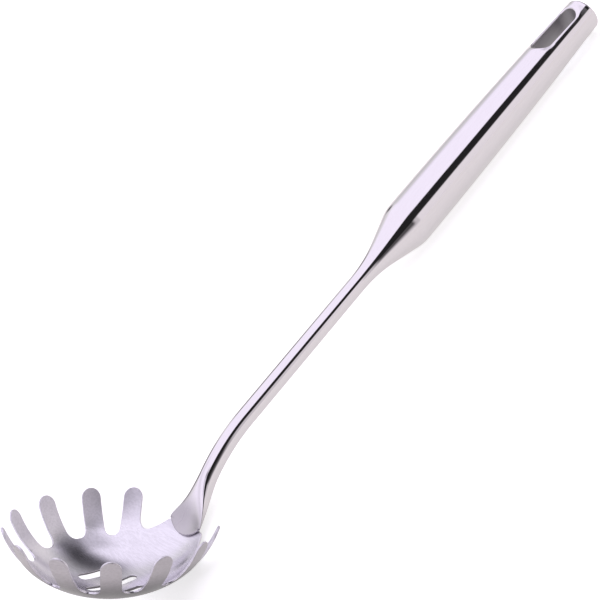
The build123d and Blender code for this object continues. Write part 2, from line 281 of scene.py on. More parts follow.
def turned_out(points, faces, normals):
    """The same mesh with every face's corners in the order that its normals ask for."""
    for face, corners in zip(faces, normals):
        turn = Vector((0, 0, 0))
        base = points[face[0]]
        for first, second in zip(face[1:], face[2:]):
            turn += (points[first] - base).cross(points[second] - base)
        if turn.dot(sum(corners, Vector((0, 0, 0)))) < 0:
            face.reverse()
            corners.reverse()
    return points, faces, normals


def inside(outlines, places):
    """Which places lie inside the outlines, counting every crossing to one side."""
    count = np.zeros(len(places), dtype=int)
    for outline in outlines:
        loop = np.array(outline)
        for (x0, y0), (x1, y1) in zip(loop, np.roll(loop, -1, axis=0)):
            if y0 != y1:
                spans = (places[:, 1] >= min(y0, y1)) & (places[:, 1] < max(y0, y1))
                cross = x0 + (places[:, 1] - y0) * (x1 - x0) / (y1 - y0)
                count += spans & (cross > places[:, 0])
    return count % 2 == 1


def signed_area(outline):
    """Area of an outline, positive where it runs counterclockwise."""
    pairs = zip(outline, outline[1:] + outline[:1])
    return sum(x0 * y1 - x1 * y0 for (x0, y0), (x1, y1) in pairs) / 2


def wound(outlines):
    """The outlines as loops, the outer one counterclockwise and its holes clockwise."""
    ways = [1] + [-1] * (len(outlines) - 1)
    return [
        list(outline) if signed_area(outline) * way > 0 else list(reversed(outline))
        for outline, way in zip(outlines, ways)
    ]


def trimmed_map(outlines, step):
    """Spots and triangles of a flat map inside its outlines, and the ring of spots on each outline."""
    loops = wound(outlines)
    rim = np.array([spot for loop in loops for spot in loop])
    low, high = rim.min(axis=0), rim.max(axis=0)
    row_step = step * sqrt(3) / 2
    grid = np.array([
        (low[0] + (column + row % 2 / 2) * step, low[1] + row * row_step)
        for row in range(ceil((high[1] - low[1]) / row_step))
        for column in range(ceil((high[0] - low[0]) / step) + 1)
    ])
    grid = grid[inside(loops, grid)]
    nearest = np.array([np.min(np.hypot(*(rim - spot).T)) for spot in grid])
    grid = grid[nearest > step * rim_clearance_share]
    edges, rings, start = [], [], 0
    for loop in loops:
        ring = list(range(start, start + len(loop)))
        edges += zip(ring, ring[1:] + ring[:1])
        rings.append(ring)
        start += len(loop)
    spots = [Vector(spot) for spot in np.vstack([rim, grid])]
    flat, _, triangles, sources, _, _ = delaunay_2d_cdt(spots, edges, [], 0, merge_distance)
    centres = np.array([sum((flat[corner] for corner in face), Vector((0, 0))) / 3 for face in triangles])
    triangles = [list(face) for face, kept in zip(triangles, inside(loops, centres)) if kept]
    moved_to = {origin: index for index, origins in enumerate(sources) for origin in origins}
    return flat, triangles, [[moved_to[index] for index in ring] for ring in rings]


def edge_chain(point, outward, away, wall, edge_round, round_steps):
    """Points and normals round a sheet's edge, from under its outer face to above its inner one."""
    chain = []
    for side, turns in ((1, range(1, round_steps + 1)), (-1, range(round_steps, 0, -1))):
        for turn in turns:
            angle = radians(90) * turn / round_steps
            sunk = edge_round * (1 - cos(angle))
            depth = sunk if side > 0 else wall - sunk
            spot = point + away * (edge_round * (sin(angle) - 1)) - outward * depth
            chain.append((spot, outward * (side * cos(angle)) + away * sin(angle)))
    return chain


def sheet_mesh(outlines, place, wall, step, edge_round=0.0, round_steps=3):
    """Closed solid of a sheet on a curved face, trimmed by an outline and its holes.

    place gives a point and its outward normal for each place on the flat map that the outlines are
    drawn on. The metal lies under that face, and its trimmed edges can be rounded.
    """
    flat, triangles, rings = trimmed_map(outlines, step)
    outer, outward = zip(*(place(spot.x, spot.y) for spot in flat))
    points = [*outer, *(spot - normal * wall for spot, normal in zip(outer, outward))]
    count = len(outer)
    faces = triangles + [[corner + count for corner in face] for face in triangles]
    normals = [[outward[corner] for corner in face] for face in triangles]
    normals += [[-outward[corner] for corner in face] for face in triangles]
    first, second, third = triangles[0]
    turn = (outer[second] - outer[first]).cross(outer[third] - outer[first])
    mirrored = -1 if turn.dot(outward[first]) < 0 else 1
    for ring in rings:
        ladders = []
        for before, here, after in zip(ring[-1:] + ring[:-1], ring, ring[1:] + ring[:1]):
            away = (outer[after] - outer[before]).cross(outward[here]).normalized() * mirrored
            ladder = [(here, outward[here] if edge_round else away)]
            if edge_round:
                chain = edge_chain(outer[here], outward[here], away, wall, edge_round, round_steps)
                for point, normal in chain:
                    ladder.append((len(points), normal))
                    points.append(point)
            ladder.append((here + count, -outward[here] if edge_round else away))
            ladders.append(ladder)
            for corner in (here, here + count):
                points[corner] = points[corner] - away * edge_round
        for left, right in zip(ladders, ladders[1:] + ladders[:1]):
            for rung in range(len(left) - 1):
                corners = [left[rung], right[rung], right[rung + 1], left[rung + 1]]
                faces.append([corner[0] for corner in corners])
                normals.append([corner[1] for corner in corners])
    return turned_out(points, faces, normals)


def rounded(corners, rounds, arc_steps=8, line_step=1.2):
    """Points along an open line of corners with a round at each inner corner, evenly subdivided."""
    corners = [Vector(corner) for corner in corners]
    path = [corners[0]]
    for before, here, after, round_radius in zip(corners, corners[1:], corners[2:], rounds):
        back = (before - here).normalized()
        ahead = (after - here).normalized()
        half = acos(max(-1, min(1, back.dot(ahead)))) / 2
        centre = here + (back + ahead).normalized() * (round_radius / sin(half))
        start = here + back * (round_radius / tan(half)) - centre
        end = here + ahead * (round_radius / tan(half)) - centre
        turn = atan2(start.x * end.y - start.y * end.x, start.dot(end))
        for step in range(arc_steps + 1):
            angle = turn * step / arc_steps
            path.append(centre + Matrix.Rotation(angle, 2) @ start)
    path.append(corners[-1])
    points = []
    for start, end in zip(path, path[1:]):
        pieces = max(1, ceil((end - start).length / line_step))
        points += [start.lerp(end, step / pieces) for step in range(pieces)]
    return points + [path[-1]]


def oblong(length, width, centre=(0, 0), arc_steps=14, line_step=1.2):
    """Closed outline of a slot with round ends, lying along x."""
    half = width / 2
    straight = length / 2 - half
    points = []
    for side in (1, -1):
        for step in range(arc_steps + 1):
            angle = radians(-90 + 180 * step / arc_steps)
            points.append(Vector((side * (straight + half * cos(angle)), side * half * sin(angle))))
        pieces = max(1, ceil(2 * straight / line_step))
        for step in range(1, pieces):
            points.append(Vector((side * straight * (1 - 2 * step / pieces), side * half)))
    return [point + Vector(centre) for point in points]


# Bowl. Its flat map keeps distances along the section: a place is as far from the map's centre as
# it is from the bowl's pole, along the outer face.
floor_length = floor_arc_radius * floor_turn
half_row = (regular_tines - 1) // 2
row_azimuths = [180 + step * tine_pitch_angle for step in range(-half_row, half_row + 1)]
end_azimuth = row_azimuths[0] - end_tine_pitch_angle
tine_azimuths = [end_azimuth, *row_azimuths, 360 - end_azimuth]


def bowl_place(u, v):
    """Point and outward normal of the bowl's outer face at a place on its flat map."""
    way = hypot(u, v)
    if way <= floor_length:
        slope = way / floor_arc_radius
        reach = floor_arc_radius * sin(slope)
        height = floor_centre_z - floor_arc_radius * cos(slope)
    else:
        slope = floor_turn + (way - floor_length) / side_arc_radius
        reach = side_centre.x + side_arc_radius * sin(slope)
        height = side_centre.y - side_arc_radius * cos(slope)
    azimuth = atan2(v, u)
    point = in_rim(reach * cos(azimuth), reach * sin(azimuth), height)
    normal = rim_direction(sin(slope) * cos(azimuth), sin(slope) * sin(azimuth), -cos(slope))
    return point, normal


def map_place(reach, azimuth):
    """Place on the flat map of what is seen along the bowl's axis, in the middle of its sheet."""
    slope = asin(min(1, reach / (floor_arc_radius - sheet / 2)))
    way = floor_arc_radius * slope
    if slope > floor_turn:
        slope = asin((reach - side_centre.x) / (side_arc_radius - sheet / 2))
        way = floor_length + side_arc_radius * (slope - floor_turn)
    return way * cos(azimuth), way * sin(azimuth)


def mapped(points):
    """Places on the flat map of points seen along the bowl's axis."""
    return [map_place(hypot(x, y), atan2(y, x)) for x, y in points]


def tip_points(steps=16):
    """Round tip of a tine that lies along x, seen along the bowl's axis, from -y to +y."""
    tip_round = tine_width / 2 * tip_round_share
    limit = asin(tine_width / 2 / tip_round)
    points = []
    for step in range(steps + 1):
        angle = (pi - limit) * (2 * step / steps - 1)
        aside, height = tip_round * sin(angle), tip_round * (cos(angle) - 1)
        slope = acos((side_centre.y - height) / (side_arc_radius - sheet / 2))
        reach = side_centre.x + (side_arc_radius - sheet / 2) * sin(slope)
        points.append(Vector((sqrt(reach**2 - aside**2), aside)))
    return points


def turned(points, azimuth):
    """Points of a plan, turned about the bowl's axis."""
    return [Matrix.Rotation(radians(azimuth), 2) @ Vector(point) for point in points]


def gap_points(azimuth, pitch, far):
    """Edge of the gap centred on azimuth, between two tines whose tips round off beyond far."""
    root_radius = tip_radius - tine_reach
    half = radians(pitch / 2)
    near_half = root_radius * tan(half) - tine_width / 2 / cos(half)
    along_tine, aside = Vector((cos(half), sin(half))), Vector((sin(half), -cos(half)))
    end = along_tine * far + aside * (tine_width / 2)
    corners = [(end.x, -end.y), (root_radius, -near_half), (root_radius, near_half), end]
    round_radius = near_half / tan(radians(90 - pitch / 2) / 2) * root_fill_share
    return turned(rounded(corners, [round_radius, round_radius]), azimuth)


def lug_points(far):
    """Edge of the lug and of the gaps on both sides of it, from the last tine to the first."""
    azimuth, shoulder = radians(end_azimuth), radians(lug_shoulder_angle)
    half = tine_width / 2
    corner_reach = tip_radius - lug_corner_setback
    root_reach = (
        (corner_reach - half * sin(azimuth)) * sin(shoulder)
        + (lug_half_width + half * cos(azimuth)) * cos(shoulder)
    ) / sin(azimuth + shoulder)
    near_side = [
        (reach * cos(azimuth) + half * sin(azimuth), reach * sin(azimuth) - half * cos(azimuth))
        for reach in (far, root_reach)
    ] + [(corner_reach, lug_half_width)]
    far_side = [(x, -y) for x, y in near_side]
    corners = far_side + [(tip_radius - lug_crown_setback, 0)] + near_side[::-1]
    return rounded(corners, lug_rounds)


def bowl_mesh():
    """The bowl's sheet with its tines, its lug and its drain slots."""
    tip = tip_points()
    far = tip[-1].x
    edge = []
    for before, after in zip(tine_azimuths, tine_azimuths[1:] + [None]):
        edge += turned(tip, before)
        if after is None:
            edge += lug_points(far)[1:-1]
        else:
            edge += gap_points((before + after) / 2, after - before, far)[1:-1]
    outlines = [mapped(edge), mapped(oblong(drain_length, drain_width))]
    for side in (1, -1):
        outlines.append(mapped(oblong(side_drain_length, drain_width, (0, side * drain_pitch))))
    return sheet_mesh(outlines, bowl_place, sheet, bowl_mesh_step, bowl_edge_round)


def grip_radius(x):
    """Outer radius of the grip at x along it."""
    if x <= 0:
        return shank_radius
    if x <= neck_end:
        return shank_radius + neck_arc_radius - sqrt(neck_arc_radius**2 - x**2)
    if x <= cone_end:
        return neck_end_radius + (x - neck_end) * tan(radians(neck_angle))
    if x <= belly_start:
        return belly_radius - shoulder_arc_radius + sqrt(shoulder_arc_radius**2 - (belly_start - x) ** 2)
    return belly_radius - belly_arc_radius + sqrt(belly_arc_radius**2 - (x - belly_start) ** 2)


def lip_dish(x, y):
    """How far the grip's face is drawn in beside the hanging slot, fading with distance from it."""
    half = hang_width / 2 + liner_wall
    past = max(0, abs(x - hang_centre) - hang_length / 2 + hang_width / 2)
    share = (hypot(past, y) - half) / lip_dish_width
    return lip_dish_depth * (1 - min(1, max(0, share))) ** 2


def grip_point(x, turn, side):
    """Point of the grip's face at x and a turn from its crest, on its upper or its lower side."""
    radius = grip_radius(x)
    radius -= lip_dish(x, radius * sin(turn))
    return in_grip(x, radius * sin(turn), side * radius * cos(turn))


def face_normal(point_at, first, second, first_step, second_step):
    """Unit normal of a face, from points a small step apart on it."""
    along_first = point_at(first + first_step, second) - point_at(first - first_step, second)
    along_second = point_at(first, second + second_step) - point_at(first, second - second_step)
    return along_first.cross(along_second).normalized()


def grip_face(x, turn, side):
    """Point and outward normal of the grip's face, on its upper or its lower side."""
    def point_at(x_near, turn_near):
        return grip_point(x_near, turn_near, side)

    return point_at(x, turn), face_normal(point_at, x, turn, normal_step, normal_turn) * side


def hang_outline(margin):
    """Outline of the hanging slot with a margin round it, seen along the slot's axis."""
    return oblong(hang_length + 2 * margin, hang_width + 2 * margin, (hang_centre, 0))


def grip_mesh(side):
    """One half of the hollow grip, its upper side for 1 and its lower side for -1."""
    def place(x, lap):
        return grip_face(x, lap / belly_radius, side)

    start, end = -mouth_length + weld_depth, grip_end - weld_depth
    quarter = belly_radius * pi / 2
    columns, rows = ceil((end - start) / grip_mesh_step), ceil(2 * quarter / grip_mesh_step)
    lengths = [start + (end - start) * step / columns for step in range(columns + 1)]
    laps = [quarter * (2 * step / rows - 1) for step in range(rows + 1)]
    edge = [(x, -quarter) for x in lengths] + [(end, lap) for lap in laps[1:]]
    edge += [(x, quarter) for x in lengths[-2::-1]] + [(start, lap) for lap in laps[-2:0:-1]]
    slot = [(x, belly_radius * asin(y / grip_radius(x))) for x, y in hang_outline(liner_wall)]
    return sheet_mesh([edge, slot], place, grip_wall, grip_mesh_step)


def liner_mesh(lip_steps=5):
    """Oblong ring that lines the hanging slot, with a round lip at both faces of the grip."""
    outer, inner = hang_outline(liner_wall), hang_outline(0)
    ways = [(spot - other).normalized() for spot, other in zip(outer, inner)]
    inward = [-(grip_x * way.x + across * way.y) for way in ways]
    angles = [radians(90) * step / lip_steps for step in range(lip_steps + 1)]
    rows, row_normals = [], []
    for side, lip_angles in ((1, angles), (-1, angles[::-1])):
        faces = [grip_face(spot.x, asin(spot.y / grip_radius(spot.x)), side) for spot in outer]
        for angle in lip_angles:
            drop = grip_up * (-side * lip_drop * (1 - cos(angle)))
            rows.append([
                point + way * (liner_wall * sin(angle)) + drop for (point, _), way in zip(faces, inward)
            ])
            row_normals.append([
                (normal * cos(angle) + way * sin(angle)).normalized()
                for (_, normal), way in zip(faces, inward)
            ])
    strips = list(zip(row_normals, row_normals[1:]))
    outside = [-way for way in inward]
    strips.append((outside, outside))
    return turned_out(*loft_mesh(rows, strips, closed=True))


def ring_rows(section, steps=96):
    """Rows and strip normals of a section turned about the grip's axis.

    The section is a list of runs. A run is a list of places (x, radius) with their normals, and it
    starts where the run before it ends.
    """
    turns = [(sin(2 * pi * step / steps), cos(2 * pi * step / steps)) for step in range(steps)]
    rows, strips = [], []
    for run in section:
        for ((x, radius), normal), (_, next_normal) in zip(run, run[1:]):
            ring = turns if radius > 0 else turns[:1]
            rows.append([in_grip(x, radius * y, radius * up) for y, up in ring])
            strips.append([
                [grip_x * ahead + (across * y + grip_up * up) * out for y, up in turns]
                for ahead, out in (normal, next_normal)
            ])
    return rows, strips


def straight_runs(*spots):
    """Runs of straight lines between places, with the normal on their left."""
    runs = []
    for (x0, r0), (x1, r1) in zip(spots, spots[1:]):
        length = hypot(x1 - x0, r1 - r0)
        normal = (-(r1 - r0) / length, (x1 - x0) / length)
        runs.append([((x0, r0), normal), ((x1, r1), normal)])
    return runs


def arc_run(centre, radius, start, end, side, steps=10):
    """Run along an arc, its normal away from the centre for side 1 and towards it for -1."""
    run = []
    for step in range(steps + 1):
        angle = radians(start + (end - start) * step / steps)
        spot = (centre[0] + radius * cos(angle), max(0, centre[1] + radius * sin(angle)))
        run.append((spot, (side * cos(angle), side * sin(angle))))
    return run


def ring_mesh(section):
    """Closed ring of a section turned about the grip's axis."""
    return turned_out(*loft_mesh(*ring_rows(section), closed=True))


def weld_mesh(x, radius):
    """Weld ring with a V section, flush with a face of that radius."""
    top = (x - weld_depth, radius), (x + weld_depth, radius)
    return ring_mesh(straight_runs(*top, (x, radius - weld_depth), top[0]))


def cap_mesh():
    """End cap: collar, round corner and dome, with a skirt inside the grip."""
    collar_end = grip_end + cap_collar
    skirt_radius = grip_end_radius - grip_wall - skirt_clearance
    skirt_start = grip_end - hang_end_gap + skirt_end_gap
    corner = (collar_end, grip_end_radius - cap_corner_radius)
    crown = (collar_end + cap_height - crown_radius, 0)
    low = 90 - cap_corner_angle
    seat = (grip_end, grip_end_radius - weld_depth)
    section = straight_runs(seat, (grip_end + weld_depth, grip_end_radius), (collar_end, grip_end_radius))
    section.append(arc_run(corner, cap_corner_radius, 90, low, 1))
    section.append(arc_run(crown, crown_radius, low, 0, 1))
    section += straight_runs((collar_end + cap_height, 0), (collar_end + cap_height - cap_sheet, 0))
    section.append(arc_run(crown, crown_radius - cap_sheet, 0, low, -1))
    section.append(arc_run(corner, cap_inner_round, low, 90, -1))
    section += straight_runs(
        (collar_end, grip_end_radius - cap_sheet),
        (collar_end, skirt_radius - skirt_wall),
        (skirt_start, skirt_radius - skirt_wall),
        (skirt_start, skirt_radius),
        (grip_end, skirt_radius),
        seat,
    )
    return ring_mesh(section)


def eased(rows, way, column):
    """Value of a column at a way along the rows, on a smooth curve through them."""
    ways = [row[0] for row in rows]
    values = [row[column] for row in rows]
    slopes = [0.0]
    for index in range(1, len(rows) - 1):
        run = ways[index + 1] - ways[index - 1]
        slopes.append((values[index + 1] - values[index - 1]) / run)
    slopes.append(0.0)
    if way <= ways[0]:
        return values[0]
    for index in range(len(rows) - 1):
        if way <= ways[index + 1]:
            run = ways[index + 1] - ways[index]
            t = (way - ways[index]) / run
            return (
                values[index] * (2 * t**3 - 3 * t**2 + 1)
                + slopes[index] * run * (t**3 - 2 * t**2 + t)
                + values[index + 1] * (3 * t**2 - 2 * t**3)
                + slopes[index + 1] * run * (t**3 - t**2)
            )
    return values[-1]


# Shank. A place along it is counted from the top of the flare, down to the pad's end.
bend_length = bend_radius * radians(flare_angle - handle_angle)
pad_face_radius = side_arc_radius - sheet - pad_thickness
pad_end = flare_length + pad_face_radius * radians(pad_top_angle - pad_end_angle)
pad_arc_radius = (pad_end_half_width**2 + pad_rise**2) / (2 * pad_rise)


def shank_station(way):
    """Side view point and direction of the shank's line, which ends along the pad's face."""
    if way <= -bend_length:
        return straight_start + direction(handle_angle) * (-bend_length - way), handle_angle
    if way <= 0:
        angle = flare_angle + degrees(way / bend_radius)
        return bend_centre + direction(angle + 90) * bend_radius, angle
    if way <= flare_length:
        return flare_top - direction(flare_angle) * way, flare_angle
    slope = pad_top_angle - degrees((way - flare_length) / pad_face_radius)
    return wall_point(slope, pad_thickness), slope


def smooth(share):
    """A share kept between 0 and 1, and eased at both."""
    share = min(1, max(0, share))
    return share * share * (3 - 2 * share)


def shank_point(way, turn):
    """Point of the shank's face at a way along it and a turn round it from its front."""
    centre, angle = shank_station(way)
    share = way / flare_length
    half_width = shank_radius + eased(flare_shares, share, 1) * (pad_half_width - shank_radius)
    front = shank_radius * (1 - eased(flare_shares, share, 2))
    back = -shank_radius + eased(flare_shares, share, 3) * (shank_radius - pad_thickness)
    middle, half_depth = (front + back) / 2, (front - back) / 2
    left = max(0, pad_end - way)
    if left < pad_rise:
        half_width = min(half_width, sqrt(left * (2 * pad_arc_radius - left)))
    if left < pad_edge_round:
        half_depth *= sqrt(1 - (1 - left / pad_edge_round) ** 2)
    power = 2 + (flare_flatness - 2) * smooth(share)
    spread = (abs(sin(turn)) ** power + abs(cos(turn)) ** power) ** (-1 / power)
    aside = half_width * spread * sin(turn)
    cup = smooth((share - cup_start_share) / (1 - cup_start_share))
    height = middle + half_depth * spread * cos(turn) + cup * aside**2 / (2 * (side_arc_radius - sheet))
    spot = centre + direction(angle + 90) * height
    return in_rim(spot.x, aside, spot.y)


def shank_mesh(steps=96, bend_steps=24, flare_steps=44, end_steps=14):
    """The rod with its bend, its flare and its pad, and the spigot inside the grip's mouth."""
    pad_start = pad_end - pad_rise
    ways = [-bend_length - shank_length + mouth_length + weld_depth]
    ways += [-bend_length * (1 - step / bend_steps) for step in range(bend_steps)]
    ways += [pad_start * step / flare_steps for step in range(flare_steps + 1)]
    ways += [pad_end - pad_rise * (1 - step / end_steps) ** 2 for step in range(1, end_steps)]
    turns = [2 * pi * step / steps for step in range(steps)]
    rows = [[shank_point(way, turn) for turn in turns] for way in ways]
    normals = []
    for way in ways:
        near = min(normal_step, (pad_end - way) / 4)
        normals.append([-face_normal(shank_point, way, turn, near, normal_turn) for turn in turns])
    end_way = -direction(shank_station(pad_end)[1])
    rows.append([shank_point(pad_end, 0)])
    normals.append([rim_direction(end_way.x, 0, end_way.y)] * steps)
    strips = list(zip(normals, normals[1:]))
    spigot_radius = shank_radius - grip_wall - spigot_clearance
    spigot_end = spigot_length - mouth_length
    section = straight_runs(
        (spigot_end, 0),
        (spigot_end, spigot_radius - spigot_lead),
        (spigot_end - spigot_lead, spigot_radius),
        (-mouth_length, spigot_radius),
        (-mouth_length, shank_radius - weld_depth),
        (-mouth_length - weld_depth, shank_radius),
    )
    section = [[(spot, (-ahead, -out)) for spot, (ahead, out) in run] for run in section]
    spigot_rows, spigot_strips = ring_rows(section, steps)
    return turned_out(*loft_mesh(spigot_rows + rows, spigot_strips + strips))


def add_camera():
    """Camera at the photograph's viewpoint. Its roll is a turn about its own line of sight."""
    azimuth, elevation, roll = (radians(a) for a in (camera_azimuth, camera_elevation, camera_roll))
    back = Vector((cos(elevation) * cos(azimuth), cos(elevation) * sin(azimuth), sin(elevation)))
    level_right = Vector((0, 0, 1)).cross(back).normalized()
    level_up = back.cross(level_right)
    right = level_right * cos(roll) - level_up * sin(roll)
    up = level_up * cos(roll) + level_right * sin(roll)
    data = bpy.data.cameras.new("camera")
    data.sensor_width = sensor_width
    data.lens = focal_length_in_pixels * sensor_width / image_side
    data.clip_end = camera_reach
    camera = bpy.data.objects.new("camera", data)
    axes = Matrix((right, up, back)).transposed()
    camera.matrix_world = Matrix.Translation(camera_place) @ axes.to_4x4()
    bpy.context.scene.collection.objects.link(camera)
    bpy.context.scene.camera = camera


def node_tree(owner):
    """Empty node tree of a material or a world."""
    owner.use_nodes = True
    tree = owner.node_tree
    tree.nodes.clear()
    return tree


def fill(tree, socket, value):
    """Give an input a plain value, or link another node's output to it."""
    if isinstance(value, bpy.types.NodeSocket):
        tree.links.new(value, socket)
    else:
        socket.default_value = value


def add_node(tree, kind, **settings):
    """Node of a kind. A setting fills the input of its name, with _ for a space, or is a property."""
    node = tree.nodes.new(kind)
    for name, value in settings.items():
        socket = node.inputs.get(name.replace("_", " "))
        if socket is None:
            setattr(node, name, value)
        else:
            fill(tree, socket, value)
    return node


# Light round the handle's axis, in degrees from overhead towards the camera's side. Each row
# holds an angle and the light's colour there.
studio_light = [
    (-180, (0.80, 0.78, 0.80)),
    (-92, (0.70, 0.70, 0.71)),
    (-66, (0.97, 0.95, 0.98)),
    (-56, (1.22, 1.16, 1.32)),
    (27, (1.22, 1.16, 1.32)),
    (50, (1.45, 1.42, 1.46)),
    (56, (1.45, 1.42, 1.46)),
    (60, (1.02, 0.97, 1.00)),
    (90, (0.98, 0.93, 0.96)),
    (180, (0.80, 0.78, 0.80)),
]

# Dark cloths in the studio. Each has two windows, one on the angle round the handle's axis in
# degrees and one on the lean towards the handle's end, from -1 to 1. A window holds where it starts to
# open, is open, starts to close and is closed. Last comes the share of light that the cloth takes.
dark_cloths = [
    ((28, 32, 58, 64), (-0.62, -0.50, 0.63, 0.69), 0.985),
    ((56, 60, 70, 92), (-0.62, -0.50, 0.02, 0.22), 0.90),
    ((56, 60, 80, 92), (0.00, 0.20, 0.28, 0.40), 0.30),
    ((-150, -140, -76, -68), (-0.30, -0.10, 0.08, 0.18), 0.85),
    ((-150, -140, -76, -68), (0.20, 0.30, 0.32, 0.42), 0.85),
    ((-150, -140, -60, -44), (0.35, 0.45, 0.68, 0.76), 0.13),
    ((-58, -46, -34, -22), (-0.70, -0.60, -0.20, 0.00), 0.15),
    ((10, 18, 32, 36), (-0.62, -0.50, -0.32, -0.18), 0.85),
    ((-20, 0, 60, 80), (0.60, 0.72, 1.00, 1.10), 0.40),
]

# Dark doorway beyond the handle's end, which the inside of the bowl shows. It has a window on the lean
# sideways and one on the height, both from -1 to 1, and starts beyond a lean to the handle's end.
doorway_side_window = (-0.70, 0.15, 0.35, 1.10)
doorway_height_window = (-0.05, 0.26, 0.40, 0.54)
doorway_start = 0.60
doorway_full = 0.75
doorway_share = 0.97


def reckoned(tree, operation, first, second):
    """Result of a math node on two values, each of them a socket or a plain number."""
    node = add_node(tree, "ShaderNodeMath", operation=operation)
    fill(tree, node.inputs[0], first)
    fill(tree, node.inputs[1], second)
    return node.outputs[0]


def product(tree, first, second):
    """Product of two values."""
    return reckoned(tree, "MULTIPLY", first, second)


def graded(tree, value, start, end, low, high):
    """A value carried smoothly from low at start to high at end."""
    step = add_node(
        tree, "ShaderNodeMapRange", interpolation_type="SMOOTHSTEP", Value=value,
        From_Min=start, From_Max=end, To_Min=low, To_Max=high,
    )
    return step.outputs[0]


def window(tree, value, limits):
    """1 where a value is inside its window, and 0 outside it."""
    opens_from, open_from, open_until, closed_from = limits
    opening = graded(tree, value, opens_from, open_from, 0, 1)
    return product(tree, opening, graded(tree, value, open_until, closed_from, 1, 0))


def darkened(tree, strength, dark, taken_share):
    """Strength of the light once a dark thing, 1 where it hangs, has taken its share."""
    taken = product(tree, dark, taken_share)
    return product(tree, strength, reckoned(tree, "SUBTRACT", 1, taken))


def panel_colour(tree, turn):
    """Colour of the light at a turn round the handle's axis."""
    share = add_node(tree, "ShaderNodeMapRange", Value=turn, From_Min=-180, From_Max=180)
    ramp = add_node(tree, "ShaderNodeValToRGB", Fac=share.outputs[0])
    stops = ramp.color_ramp.elements
    while len(stops) < len(studio_light):
        stops.new(0.5)
    for stop, (angle, colour) in zip(stops, studio_light):
        stop.position = (angle + 180) / 360
        stop.color = (*colour, 1)
    return ramp.outputs["Color"]


def add_world():
    """Studio of pale panels, dark cloths and a doorway. The camera sees plain white in their place."""
    world = bpy.data.worlds.new("studio")
    bpy.context.scene.world = world
    tree = node_tree(world)
    place = add_node(tree, "ShaderNodeTexCoord").outputs["Generated"]
    lean, aside, height = add_node(tree, "ShaderNodeSeparateXYZ", Vector=place).outputs
    angle = reckoned(tree, "ARCTAN2", product(tree, aside, -1), height)
    turn = product(tree, angle, degrees(1))
    doorway_side = window(tree, aside, doorway_side_window)
    doorway_face = product(tree, doorway_side, window(tree, height, doorway_height_window))
    doorway = product(tree, doorway_face, graded(tree, lean, doorway_start, doorway_full, 0, 1))
    strength = darkened(tree, 1, doorway, doorway_share)
    for turn_window, lean_window, taken_share in dark_cloths:
        cloth = product(tree, window(tree, turn, turn_window), window(tree, lean, lean_window))
        strength = darkened(tree, strength, cloth, taken_share)
    panels = add_node(tree, "ShaderNodeBackground", Color=panel_colour(tree, turn), Strength=strength)
    backdrop = add_node(tree, "ShaderNodeBackground", Color=(1, 1, 1, 1), Strength=1.0)
    path = add_node(tree, "ShaderNodeLightPath")
    seen = add_node(tree, "ShaderNodeMixShader", Fac=path.outputs["Is Camera Ray"])
    tree.links.new(panels.outputs[0], seen.inputs[1])
    tree.links.new(backdrop.outputs[0], seen.inputs[2])
    add_node(tree, "ShaderNodeOutputWorld", Surface=seen.outputs[0])


# White table, in metres. It glows where it is seen by the camera or in the steel, and its own colour
# is darker in the steel. It lies a hair under the server, so that they don't share a plane.
floor_side = 6.0
floor_gap = 0.0002
floor_colour = (0.77, 0.76, 0.77)
mirrored_floor_colour = (0.40, 0.37, 0.335)
floor_glow = 0.62


def floor_material():
    """White that keeps the server's shadow, and glows to the camera and to the steel only."""
    material = bpy.data.materials.new("floor")
    tree = node_tree(material)
    path = add_node(tree, "ShaderNodeLightPath")
    glossy, transmitted = path.outputs["Is Glossy Ray"], path.outputs["Is Transmission Ray"]
    mirrored = reckoned(tree, "MAXIMUM", glossy, transmitted)
    seen = reckoned(tree, "ADD", path.outputs["Is Camera Ray"], mirrored)
    strength = product(tree, seen, floor_glow)
    colour = add_node(
        tree, "ShaderNodeMixRGB",
        Fac=mirrored, Color1=(*floor_colour, 1), Color2=(*mirrored_floor_colour, 1),
    )
    diffuse = add_node(tree, "ShaderNodeBsdfDiffuse", Color=colour.outputs[0])
    glow = add_node(tree, "ShaderNodeEmission", Color=(1, 1, 1, 1), Strength=strength)
    both = add_node(tree, "ShaderNodeAddShader")
    tree.links.new(diffuse.outputs[0], both.inputs[0])
    tree.links.new(glow.outputs[0], both.inputs[1])
    add_node(tree, "ShaderNodeOutputMaterial", Surface=both.outputs[0])
    return material


def add_floor():
    """Plain white table under the server."""
    half = floor_side / 2
    mesh = bpy.data.meshes.new("floor")
    corners = [(-half, -half, 0), (half, -half, 0), (half, half, 0), (-half, half, 0)]
    mesh.from_pydata(corners, [], [(0, 1, 2, 3)])
    mesh.materials.append(floor_material())
    floor = bpy.data.objects.new("floor", mesh)
    floor.location = (0, 0, -floor_gap)
    bpy.context.scene.collection.objects.link(floor)


# Steels. Grains and patches of duller metal are in metres across, and grains are stretched along one
# axis. Colour and roughness vary by a share each way. A fade holds the direction it runs in, the two
# places along it in metres, the share of the colour at the second place, and the roughness there.
cloud_size = 0.022
roughness_spread_share = 0.2
noise_limits = (0.3, 0.7)
grain_depth = 0.00002
fine_grain = 0.0004
brushed_grain = 0.0007
along_handle = (14, 1, 1)
across_bowl = (1, 16, 1)
bright = (0.73, 0.70, 0.73)
polish = {"roughness": 0.07, "shade_spread_share": 0.015, "relief": 0.05}
# The pad: duller towards its end, and greyer there with painted shade.
matt_pad_with_painted_shade = ((1, -0.35, 0), -0.108, -0.1175, 0.66, 0.30)
# The tines: more matt, and paler with painted light.
matt_tines_with_painted_light = (rim_z, -0.083, -0.076, 1.15, 0.55)
# Painted shade that darkens the bowl's outside towards its foot.
shaded_foot = (rim_z, -0.072, -0.084, 0.38, 0.33)


def varied(tree, noise, middle, spread_share):
    """A value that varies with a noise, by a share of its middle each way."""
    low, high = middle * (1 - spread_share), middle * (1 + spread_share)
    return graded(tree, noise.outputs["Fac"], *noise_limits, low, high)


